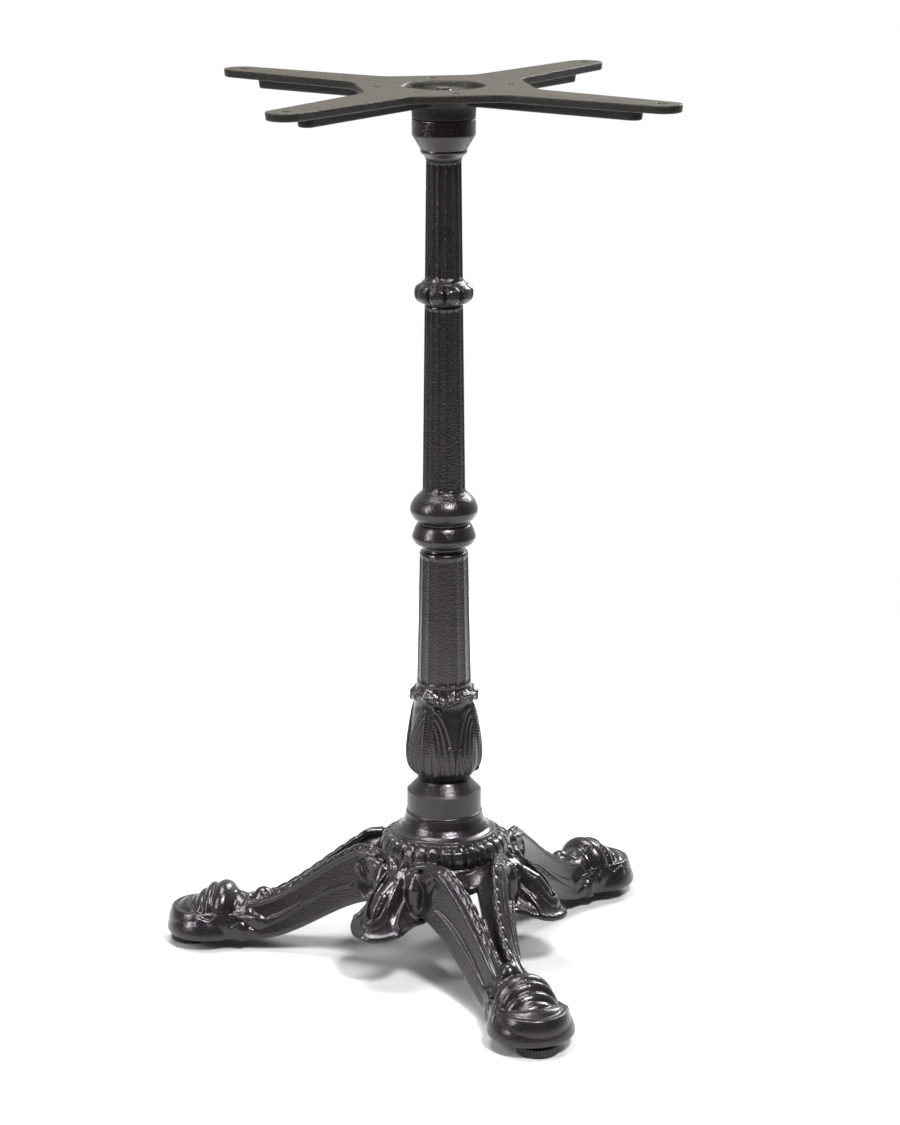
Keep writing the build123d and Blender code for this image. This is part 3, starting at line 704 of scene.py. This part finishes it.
def build_column():
    """Wraps the profile round the axis, with the relief added to the outside."""
    pieces = [evenly(curve(points) if smooth else np.array(points, float), ROW_STEP)
              for smooth, points in OUTSIDE]
    outer = np.concatenate(pieces)
    inner = evenly(np.array(INSIDE, float), 12)
    turn = np.arange(AROUND) / AROUND * math.tau
    out, up = outer[:, :1], outer[:, 1:]
    carries = (out > RELIEF_FROM) * (up < RELIEF_TO)
    radius = out + relief(up, turn[None, :]) * carries
    height = up + droop(up, turn[None, :])
    radius = np.concatenate([radius, np.broadcast_to(inner[:, :1], (len(inner), AROUND))])
    height = np.concatenate([height, np.broadcast_to(inner[:, 1:], (len(inner), AROUND))])
    piece = mesh_object("column_shaft", *wrapped(radius, height, (0, 0)))
    piece.data.set_sharp_from_angle(angle=math.radians(32))
    return piece


column = build_column()
stand_in(column, "frame", "black_coat", "column")


# ============================== top plate ==============================
ARM_AXIS = math.radians(35.2)
ARMS = 4
ARM_ROOT_HALF, ARM_TIP_HALF = 26, 15
ARM_END = 200                 # centre of an arm's round tip
WEB_EDGE = 67                 # distance to the straight edge between two arms
FLANGE = 6.4
EDGE_SLOPE = 0.11
RIB_END = 181
RIB_HALF = 7.6
RIB_DEPTH = 7.8
RIB_SLOPE = 0.12
HUB_RADIUS, HUB_FLARE = 25, 15
SPIGOT_RADIUS = 17.2
# (radius, depth below the top face) of the bowl
BOWL = ((-1, -5), (33.5, -5), (32.5, 0), (31.0, 5), (19.0, 14), (15.0, 20), (-1, 20))
ARM_HOLE_AT, ARM_HOLE = 199.3, 3.7
WEB_HOLE_AT, WEB_HOLE = 53.0, 3.0
PLATE_CELL = 0.9


def plate_field(p):
    """Four arms with a rib under each, the hub below and the bowl for the nut above."""
    x, y, z = p
    radius = np.hypot(x, y)
    turn = np.arctan2(y, x) - ARM_AXIS
    quarter = math.tau / ARMS
    off = (turn + quarter / 2) % quarter - quarter / 2
    along, side = radius * np.cos(off), np.abs(radius * np.sin(off))
    web_off = (turn % quarter) - quarter / 2
    web_along, web_side = radius * np.cos(web_off), radius * np.sin(web_off)
    down = TOP_Z - z
    # arm: a tapered strip with a round tip, its sides sloping in below
    half = ARM_ROOT_HALF + (ARM_TIP_HALF - ARM_ROOT_HALF) * np.clip(along / ARM_END, 0, 1)
    tip = np.hypot(np.maximum(along - ARM_END, 0), side) - ARM_TIP_HALF
    arm = np.where(along > ARM_END, tip, (side - half) * 0.998) + down * EDGE_SLOPE
    plan = blend(arm, np.abs(web_along) - WEB_EDGE + down * EDGE_SLOPE, 7.0)
    flange = keep(plan, between(down, 0, FLANGE), 0.9)
    rib_t = np.clip(along, 0, RIB_END - 7)
    rib = np.sqrt((along - rib_t) ** 2 + side ** 2) - RIB_HALF + (down - FLANGE) * RIB_SLOPE
    rib = keep(rib, between(down, 0, FLANGE + RIB_DEPTH), 1.6)
    whole = blend(flange, rib, 1.5)
    # hub, flared under the flange, and its spigot
    flare = HUB_RADIUS + HUB_FLARE * np.exp(-np.clip(down - FLANGE, 0, 60) / 3.2)
    hub = keep((radius - flare) * 0.75, between(z, COLUMN_TOP_Z, TOP_Z), 1.0)
    spigot = keep(radius - SPIGOT_RADIUS, between(z, COLUMN_TOP_Z - SPIGOT, COLUMN_TOP_Z + 3), 0.5)
    whole = blend(np.minimum(whole, hub), spigot, 0.2)
    whole = carve(whole, outline(radius, z, [(r, TOP_Z - depth) for r, depth in BOWL]), 1.4)
    arm_hole = np.hypot(along - ARM_HOLE_AT, side) - ARM_HOLE
    web_hole = np.hypot(web_along - WEB_HOLE_AT, web_side) - WEB_HOLE
    holes = np.minimum(np.minimum(radius - ROD_HOLE, arm_hole), web_hole)
    return carve(whole, holes, 0.6)


plate = cast("spider", plate_field, PLATE_LOW - 1, PLATE_HIGH + 1, PLATE_CELL)
stand_in(plate, "frame", "plate_coat", "top_plate")


# ============================== turned pieces ==============================
def ring_mesh(name, profile, centre, around, radius_at=None):
    """Piece of revolution: profile is a closed line of (radius, height).

    radius_at reshapes it by radius, height and angle.
    """
    profile = np.array(profile, float)
    radius = np.broadcast_to(profile[:, :1], (len(profile), around))
    height = np.broadcast_to(profile[:, 1:], radius.shape)
    if radius_at:
        turn = np.arange(around) / around * math.tau
        radius = radius_at(radius, height, turn[None, :])
    piece = mesh_object(name, *wrapped(radius, height, centre))
    piece.data.set_sharp_from_angle(angle=math.radians(35))
    return piece


def closed(points, gap):
    """Closed profile with points no further apart than gap."""
    return evenly(np.array(list(points) + [points[0]], float), gap)[:-1]


def thread(pitch, depth, low, high):
    """Shape of a cut thread between two heights, as a function for ring_mesh."""
    def cut(radius, height, turn):
        wave = ((height / pitch - turn / math.tau) % 1 - 0.5) * 2
        outer = radius > radius.max() - 0.6
        on = step(height, low - 0.1, low + 0.1) * (1 - step(height, high - 0.1, high + 0.1))
        return radius - depth * np.abs(wave) * on * outer
    return cut


ROD_THREAD = (1.75, 0.95)     # pitch and depth
STUD_THREAD = (1.25, 0.65)
THREAD_RUN = 40               # threaded length at each end of the rod
END_CHAMFER = 0.8


def build_tie_rod():
    """Tie rod, threaded at both ends."""
    low, high, r, c = ROD_LOW[2], ROD_HIGH[2], ROD_RADIUS, END_CHAMFER
    ends = [*np.arange(low + c, low + THREAD_RUN, 0.25), *np.arange(high - THREAD_RUN, high - c, 0.25)]
    profile = [(0.4, low), (r - c, low)] + [(r, z) for z in ends] + [(r - c, high), (0.4, high)]
    cut_low = thread(*ROD_THREAD, low + c, low + THREAD_RUN - 1)
    cut_high = thread(*ROD_THREAD, high - THREAD_RUN + 1, high - c)

    def cut(radius, height, turn):
        return np.minimum(cut_low(radius, height, turn), cut_high(radius, height, turn))

    return ring_mesh("tie_rod_threaded", profile, (0, 0), 64, cut)


stand_in(build_tie_rod(), "frame", "plated_steel", "tie_rod")


def build_washer(node):
    """Plain washer with its edges broken."""
    low, high = box_mm(node)
    r, z0, z1, c = (high[0] - low[0]) / 2, low[2], high[2], 0.35
    profile = [(ROD_HOLE, z0), (r - c, z0), (r, z0 + c), (r, z1 - c), (r - c, z1), (ROD_HOLE, z1)]
    piece = ring_mesh(node + "_turned", closed(profile, 1.2), (0, 0), 96)
    stand_in(piece, "frame", "plated_steel", node)


def build_spring_washer(node):
    """Split spring washer: one square-section turn with a slanted gap."""
    low, high = box_mm(node)
    r, z0, z1, c = (high[0] - low[0]) / 2 - 0.01, low[2], high[2], 0.3
    bore = ROD_HOLE + 0.1
    section = [(bore, z0 + c), (bore + c, z0), (r - c, z0), (r, z0 + c),
               (r, z1 - c), (r - c, z1), (bore + c, z1), (bore, z1 - c)]
    count, half_gap, slant = 96, 0.11, 0.16     # sections, and two angles in radians
    points = []
    for angle in np.linspace(half_gap, math.tau - half_gap, count):
        for radius, z in section:
            lean = slant * ((z - z0) / (z1 - z0) - 0.5)
            points.append((radius * math.cos(angle + lean), radius * math.sin(angle + lean), z))
    size = len(section)
    faces = [
        (i * size + k, (i + 1) * size + k, (i + 1) * size + (k + 1) % size, i * size + (k + 1) % size)
        for i in range(count - 1) for k in range(size)
    ]
    last = (count - 1) * size
    for k in ((0, 1, 2, 3), (0, 3, 4, 7), (4, 5, 6, 7)):
        faces.append(k)
        faces.append(tuple(last + j for j in reversed(k)))
    piece = mesh_object(node + "_split", points, faces)
    piece.data.set_sharp_from_angle(angle=math.radians(40))
    stand_in(piece, "frame", "plated_steel", node)


def build_nut(node):
    """Hexagon nut with its corners turned down and the thread's mouth countersunk."""
    low, high = box_mm(node)
    flat, mouth, bore = 9.5, 6.5, 5.9           # across half the flats, and radii of the hole
    z0, z1, r = low[2], high[2], flat / math.cos(math.pi / 6)
    profile = [(mouth, z0), (flat - 0.3, z0), (r, z0 + 1.1), (r, z1 - 1.1), (flat - 0.3, z1),
               (mouth, z1), (bore, z1 - 0.8), (bore, z0 + 0.8)]

    def hexagon(radius, height, turn):
        away = (turn + math.pi / 6) % (math.pi / 3) - math.pi / 6
        return np.where(radius > mouth + 0.5, np.minimum(radius, flat / np.cos(away)), radius)

    piece = ring_mesh(node + "_hexagon", closed(profile, 0.3), (0, 0), 192, hexagon)
    stand_in(piece, "frame", "plated_steel", node)


for end in ("top", "bottom"):
    build_washer(f"{end}_washer")
    build_spring_washer(f"{end}_spring_washer")
    build_nut(f"{end}_nut")


PAD_RIDGES = 40
STUD_RADIUS = 3.95
HEAD_RADIUS, HEAD_TOP = 7.0, 6.0


def build_leveller(number, centre):
    """Screw with a rolled thread and its moulded foot with a knurled rim."""
    pad, stud = f"leveller_pad_{number}", f"leveller_stud_{number}"
    low, high = box_mm(pad)
    r, h = (high[0] - low[0]) / 2, high[2]
    profile = [(4.0, 6.05), (7.05, 6.05), (7.05, 2.45), (4, 2.45), (4, 1.2), (r - 4.2, 1.0), (r - 3.4, 0),
               (r - 1.2, 0), (r - 0.35, 0.5), (r, 1.4), (r, h - 2.8), (r - 0.5, h - 1.6), (r - 1.7, h - 0.9),
               (r - 5.5, h - 0.5), (r - 6.2, h), (4.0, h)]

    def knurl(radius, height, turn):
        wave = np.abs(np.cos(turn * PAD_RIDGES / 2)) ** 0.6
        upright = step(height, 0.6, 1.6) * (1 - step(height, h - 2.9, h - 1.8))
        return radius - 0.75 * (1 - wave) * step(radius, r - 0.8, r - 0.1) * upright

    foot = ring_mesh(f"foot_{number}", closed(profile, 0.35), centre, 480, knurl)
    stand_in(foot, f"leveller_{number}_pad", "pad_plastic", pad)
    low, high = box_mm(stud)
    top, bottom = high[2], low[2]
    line = [(0.3, bottom), (HEAD_RADIUS - 0.1, bottom), (HEAD_RADIUS, bottom + 0.2),
            (HEAD_RADIUS, HEAD_TOP - 0.1), (HEAD_RADIUS - 0.2, HEAD_TOP), (STUD_RADIUS, HEAD_TOP)]
    line += [(STUD_RADIUS, z) for z in np.arange(HEAD_TOP + 0.3, top - END_CHAMFER, 0.2)]
    line += [(STUD_RADIUS - 0.75, top), (0.3, top)]
    cut = thread(*STUD_THREAD, HEAD_TOP + 0.5, top - END_CHAMFER)

    def thread_only(radius, height, turn):
        shank = radius < STUD_RADIUS + 0.01
        return np.where(shank, cut(np.minimum(radius, STUD_RADIUS), height, turn), radius)

    screw = ring_mesh(f"screw_{number}", line, centre, 64, thread_only)
    stand_in(screw, f"leveller_{number}_screw", "plated_steel", stud)


for number, centre in enumerate(PAD_CENTRES, 1):
    build_leveller(number, centre[:2])


# ============================== materials ==============================
class Nodes:
    """Small helper that builds a node tree."""

    def __init__(self, name):
        self.material = bpy.data.materials.new(name)
        self.material.use_nodes = True
        self.tree = self.material.node_tree
        self.shader = self.tree.nodes["Principled BSDF"]
        self.place = self.add("ShaderNodeTexCoord").outputs["Object"]

    def add(self, kind, **values):
        node = self.tree.nodes.new(kind)
        for key, value in values.items():
            setattr(node, key, value)
        return node

    def link(self, start, node, socket):
        self.tree.links.new(start, node.inputs[socket])

    def fill(self, node, socket, value):
        """Sets a socket from a number, or links it from another node's output."""
        if isinstance(value, bpy.types.NodeSocket):
            self.link(value, node, socket)
        else:
            node.inputs[socket].default_value = value

    def noise(self, scale, detail=2.0, roughness=0.5):
        node = self.add("ShaderNodeTexNoise")
        self.link(self.place, node, "Vector")
        node.inputs["Scale"].default_value = scale
        node.inputs["Detail"].default_value = detail
        node.inputs["Roughness"].default_value = roughness
        return node.outputs["Fac"]

    def cells(self, scale, feature="F1"):
        node = self.add("ShaderNodeTexVoronoi", feature=feature)
        self.link(self.place, node, "Vector")
        node.inputs["Scale"].default_value = scale
        return node.outputs["Distance"]

    def math(self, operation, first, second=0.0, third=0.0):
        node = self.add("ShaderNodeMath", operation=operation)
        for socket, value in enumerate((first, second, third)):
            self.fill(node, socket, value)
        return node.outputs[0]

    def spread(self, value, low, high, out_low=0.0, out_high=1.0):
        node = self.add("ShaderNodeMapRange", interpolation_type="SMOOTHSTEP")
        for socket, number in enumerate((value, low, high, out_low, out_high)):
            self.fill(node, socket, number)
        return node.outputs[0]

    def mix(self, share, first, second):
        node = self.add("ShaderNodeMix", data_type="RGBA")
        self.fill(node, 0, share)
        self.fill(node, 6, first)
        self.fill(node, 7, second)
        return node.outputs[2]

    def level(self, share, first, second):
        node = self.add("ShaderNodeMix", data_type="FLOAT")
        self.fill(node, 0, share)
        self.fill(node, 2, first)
        self.fill(node, 3, second)
        return node.outputs[0]

    def bump(self, height, strength, distance, after=None):
        node = self.add("ShaderNodeBump")
        self.fill(node, "Strength", strength)
        self.fill(node, "Distance", distance)
        self.link(height, node, "Height")
        if after is not None:
            self.link(after, node, "Normal")
        return node.outputs[0]

    def set(self, socket, value):
        self.fill(self.shader, socket, value)

    def heights(self):
        """Height above the floor at rest, for finishes and a painted warm reflection that change along the
        column.
        """
        node = self.add("ShaderNodeSeparateXYZ")
        self.link(self.place, node, "Vector")
        return node.outputs["Z"]


def powder_coat():
    """Glossy black powder coat over rough castings, with a machined collar left smooth and a painted warm
    reflection towards the top of the column.
    """
    m = Nodes("powder_coat")
    z = m.heights()
    # 1 on the collar, 0 above and below it
    collar = m.math("MULTIPLY", m.spread(z, 0.1278, 0.1284), m.spread(z, 0.1465, 0.1480, 1.0, 0.0))
    peel = m.noise(620.0, 2.0, 0.55)
    grain = m.noise(1500.0, 2.0, 0.6)
    pits = m.cells(900.0, "SMOOTH_F1")
    dust = m.spread(m.noise(90.0, 3.0, 0.6), 0.35, 0.7)
    colour = m.mix(dust, (0.0085, 0.0075, 0.0090, 1), (0.0135, 0.0120, 0.0140, 1))
    # painted warm reflection: the base colour turns warmer towards the top of the column
    painted_warm_reflection = m.mix(m.spread(z, 0.60, 0.69), colour, (0.0115, 0.0095, 0.0075, 1))
    m.set("Base Color", m.mix(collar, painted_warm_reflection, (0.013, 0.012, 0.013, 1)))
    gloss = m.spread(grain, 0.3, 0.7, 0.17, 0.23)
    m.set("Roughness", m.level(collar, gloss, 0.36))
    rough = m.level(collar, 1.0, 0.05)
    peeled = m.math("MULTIPLY", rough, m.spread(z, 0.38, 0.40, 0.65, 1.0))
    first = m.bump(peel, peeled, 0.00042)
    second = m.bump(pits, m.math("MULTIPLY", rough, 0.5), 0.00010, first)
    sandy = m.math("MULTIPLY", rough, m.spread(z, 0.150, 0.165, 0.35, 1.0))
    m.set("Normal", m.bump(grain, sandy, 0.00008, second))
    m.set("Specular IOR Level", 0.5)
    m.set("Specular Tint", (1.0, 0.92, 0.98, 1))
    m.set("Coat Weight", 0.12)
    m.set("Coat Roughness", 0.10)
    return m.material


def plate_coat():
    """The same coat on the top plate: matt, grainy and a lighter brown on the upper face, glossy on the
    edges.
    """
    m = Nodes("plate_coat")
    z = m.heights()
    top = m.spread(z, (TOP_Z - 0.5) * MM, (TOP_Z - 0.1) * MM)
    grain = m.noise(800.0, 3.0, 0.7)
    peel = m.noise(600.0, 2.0, 0.55)
    face = m.mix(m.spread(grain, 0.38, 0.66), (0.005, 0.0042, 0.0032, 1), (0.078, 0.065, 0.048, 1))
    m.set("Base Color", m.mix(top, (0.010, 0.009, 0.0075, 1), face))
    m.set("Roughness", m.level(top, m.spread(grain, 0.3, 0.7, 0.24, 0.4), 0.60))
    first = m.bump(peel, 1.0, 0.0004)
    m.set("Normal", m.bump(grain, 1.0, 0.0006, first))
    m.set("Specular IOR Level", 0.24)
    m.set("Specular Tint", (1.0, 0.95, 0.86, 1))
    m.set("Coat Weight", 0.04)
    m.set("Coat Roughness", 0.2)
    return m.material


def plated_steel():
    """Black zinc plate on the rod, nuts, washers and screws."""
    m = Nodes("plated_steel")
    cloud = m.noise(260.0, 3.0, 0.6)
    tone = m.spread(cloud, 0.35, 0.65)
    m.set("Base Color", m.mix(tone, (0.045, 0.043, 0.040, 1), (0.085, 0.082, 0.076, 1)))
    m.set("Metallic", 1.0)
    m.set("Roughness", m.spread(cloud, 0.3, 0.7, 0.24, 0.38))
    m.set("Normal", m.bump(m.noise(1800.0, 1.0), 0.12, 0.0002))
    return m.material


def pad_plastic():
    """Black moulded plastic of the levelling feet."""
    m = Nodes("pad_plastic")
    grain = m.noise(1600.0, 2.0)
    tone = m.spread(grain, 0.3, 0.7)
    m.set("Base Color", m.mix(tone, (0.011, 0.011, 0.012, 1), (0.016, 0.016, 0.017, 1)))
    m.set("Roughness", m.spread(grain, 0.3, 0.7, 0.42, 0.55))
    m.set("Normal", m.bump(grain, 0.2, 0.0003))
    return m.material


FINISHES = {
    "black_coat": powder_coat(), "plate_coat": plate_coat(),
    "plated_steel": plated_steel(), "pad_plastic": pad_plastic(),
}
for piece in list(bpy.data.objects):
    if piece.type == "MESH" and "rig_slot" in piece:
        piece.data.materials.clear()
        piece.data.materials.append(FINISHES[piece["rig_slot"]])


# ============================== floor, light and camera ==============================
FLOOR_RADIUS = 1150           # mm
FLOOR_SIDES = 192
GLOW_FROM, GLOW = 0.35, 0.75  # metres from the axis, strength at the edge


def pale_floor():
    """Round pale floor that glows towards its edge, where it meets the white backdrop."""
    m = Nodes("pale_floor")
    mottle = m.noise(3.0, 2.0)
    m.set("Base Color", m.mix(mottle, (0.55, 0.55, 0.55, 1), (0.57, 0.57, 0.57, 1)))
    m.set("Roughness", 0.9)
    m.set("Specular IOR Level", 0.1)
    away = m.add("ShaderNodeVectorMath", operation="LENGTH")
    m.link(m.place, away, 0)
    m.set("Emission Color", (1, 1, 1, 1))
    far = FLOOR_RADIUS * MM
    m.set("Emission Strength", m.spread(away.outputs["Value"], GLOW_FROM, far, 0.0, GLOW))
    # one ring of quads, from almost nothing at the centre out to the edge
    turn = np.arange(FLOOR_SIDES) / FLOOR_SIDES * math.tau
    circle = np.stack([np.cos(turn), np.sin(turn), 0 * turn], axis=1)
    points = np.concatenate([0.01 * circle, FLOOR_RADIUS * circle])
    here = np.arange(FLOOR_SIDES)
    ahead = np.roll(here, -1)
    faces = np.stack([here, here + FLOOR_SIDES, ahead + FLOOR_SIDES, ahead], axis=1)
    floor = mesh_object("floor", points, faces)
    floor.data.materials.append(m.material)


FRONT = (-0.334, -0.943, 0.0)     # towards the viewer
# Brightness of the room by the cosine of the angle from FRONT: from, to, level behind, in front.
ROOM = (-0.9, 0.35, 0.75, 0.09)


def soft_light(name, place, aim, size, power):
    """Rectangular softbox at place, turned towards aim; metres and watts."""
    data = bpy.data.lights.new(name, "AREA")
    data.shape = "RECTANGLE"
    data.size, data.size_y = size
    data.energy = power
    lamp = bpy.data.objects.new(name, data)
    lamp.location = place
    lamp.rotation_euler = (Vector(aim) - Vector(place)).to_track_quat("-Z", "Y").to_euler()
    bpy.context.scene.collection.objects.link(lamp)


pale_floor()
soft_light("key", (0.15, -1.9, 2.75), (0, 0, 0.3), (0.55, 0.55), 130)
soft_light("side", (-2.3, -0.3, 1.5), (0, 0, 0.35), (0.35, 1.4), 45)
soft_light("back", (1.9, 1.3, 1.8), (0, 0, 0.35), (0.5, 1.2), 60)
soft_light("overhead", (-0.4, 0.4, 3.0), (0, 0, 0), (1.2, 1.2), 90)


def studio_world():
    """White backdrop to the eye; for light and reflections, a room that is bright behind and dim in front."""
    world = bpy.data.worlds.new("studio")
    world.use_nodes = True
    tree = world.node_tree
    rays = tree.nodes.new("ShaderNodeLightPath")
    place = tree.nodes.new("ShaderNodeTexCoord")
    facing = tree.nodes.new("ShaderNodeVectorMath")
    facing.operation = "DOT_PRODUCT"
    facing.inputs[1].default_value = FRONT
    tree.links.new(place.outputs["Generated"], facing.inputs[0])
    room = tree.nodes.new("ShaderNodeMapRange")
    room.interpolation_type = "SMOOTHSTEP"
    tree.links.new(facing.outputs["Value"], room.inputs[0])
    for socket, value in enumerate(ROOM, 1):
        room.inputs[socket].default_value = value
    level = tree.nodes.new("ShaderNodeMix")
    tree.links.new(rays.outputs["Is Camera Ray"], level.inputs[0])
    tree.links.new(room.outputs[0], level.inputs[2])
    level.inputs[3].default_value = 1.0
    tree.links.new(level.outputs[0], tree.nodes["Background"].inputs["Strength"])
    tree.nodes["Background"].inputs["Color"].default_value = (1, 1, 1, 1)
    bpy.context.scene.world = world


studio_world()
bpy.context.scene.view_settings.view_transform = "Standard"

CAMERA_PLACE = (-0.8745, -2.4799, 1.0300)
LOOKING_DOWN, HEADING = 0.2578, -0.34086    # radians
lens = bpy.data.cameras.new("camera")
lens.lens = 108.04
lens.clip_end = 60
camera = bpy.data.objects.new("camera", lens)
camera.location = CAMERA_PLACE
camera.rotation_euler = (math.pi / 2 - LOOKING_DOWN, 0, HEADING)
bpy.context.scene.collection.objects.link(camera)
bpy.context.scene.camera = camera
